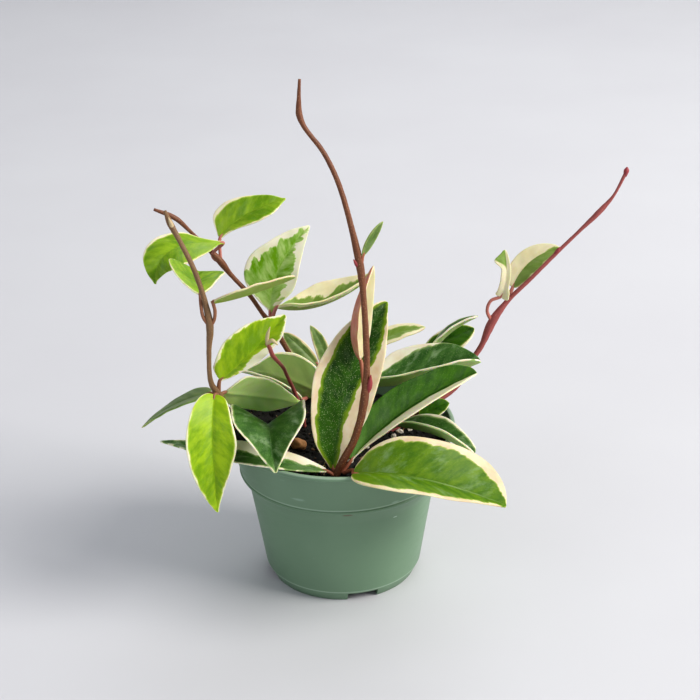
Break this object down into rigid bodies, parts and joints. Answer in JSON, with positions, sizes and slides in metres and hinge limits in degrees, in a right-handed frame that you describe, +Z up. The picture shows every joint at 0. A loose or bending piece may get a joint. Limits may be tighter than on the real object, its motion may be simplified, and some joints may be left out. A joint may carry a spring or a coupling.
{
  "type": "potted plant",
  "caption": "Variegated wax plant with long trailing vines and thick cream-edged leaves, growing in a round green nursery pot filled with dark soil.",
  "frame": {"origin": "centre of the whole plant's bounding box in plan, at the underside of the pot's foot ring", "axes": "+Z up along the pot's axis, +Y away from the viewer of the front view, +X to the viewer's right, where the longest side vine reaches"},
  "size_m": [0.2272, 0.1268, 0.2481],
  "materials": {
    "pot": "satin, thin moulded green plastic",
    "soil": "matt, moist dark peat and bark mix",
    "bark": "matt brown vine bark with fine pale specks",
    "olive_stem": "matt olive-brown young vine",
    "red_stem": "satin reddish-pink young vine",
    "leaf_bright": "waxy bright yellow-green leaf with thin white margin",
    "leaf_green": "waxy mid-green leaf with cream margin",
    "leaf_dark": "waxy dark-green leaf with silver flecks and cream margin",
    "leaf_sage": "matt grey-green underside of a leaf",
    "leaf_cream": "waxy cream variegated leaf with green patches",
    "pebble": "matt orange-brown pebble",
    "perlite": "matt white perlite"
  },
  "bodies": {
    "root": {"pot": "pot", "front_vine": "bark", "back_vine": "bark", "left_vine": "olive_stem", "red_shoot": "red_stem", "right_vine": "red_stem", "middle_shoot": "bark", "pebble": "pebble", "soil": "soil", "perlite_1": "perlite", "perlite_2": "perlite", "perlite_3": "perlite", "perlite_4": "perlite", "perlite_5": "perlite", "leaf_front_upright": "leaf_dark", "leaf_front_right": "leaf_green", "leaf_right_dark": "leaf_dark", "leaf_over_rim_left": "leaf_green", "leaf_young_pink": "leaf_cream", "leaf_young_olive": "leaf_sage", "leaf_right_folded": "leaf_dark", "leaf_behind_pale": "leaf_cream", "leaf_behind_arched": "leaf_dark", "leaf_behind_wide": "leaf_dark", "leaf_hanging_bright": "leaf_bright", "leaf_upper_bright": "leaf_bright", "leaf_front_arched": "leaf_dark", "leaf_left_sage": "leaf_sage", "leaf_left_drooping": "leaf_sage", "leaf_left_short": "leaf_bright", "leaf_left_narrow": "leaf_sage", "leaf_top_left": "leaf_green", "leaf_top": "leaf_green", "leaf_variegated": "leaf_cream", "leaf_cream_folded": "leaf_cream", "leaf_back_sage": "leaf_sage", "leaf_back_dark": "leaf_dark", "leaf_back_pointed": "leaf_sage", "leaf_back_edge_on": "leaf_cream", "leaf_right_low": "leaf_dark", "leaf_right_shaded": "leaf_dark", "leaf_curled_cream": "leaf_cream", "leaf_right_pink": "leaf_cream"}
  },
  "joints": []
}
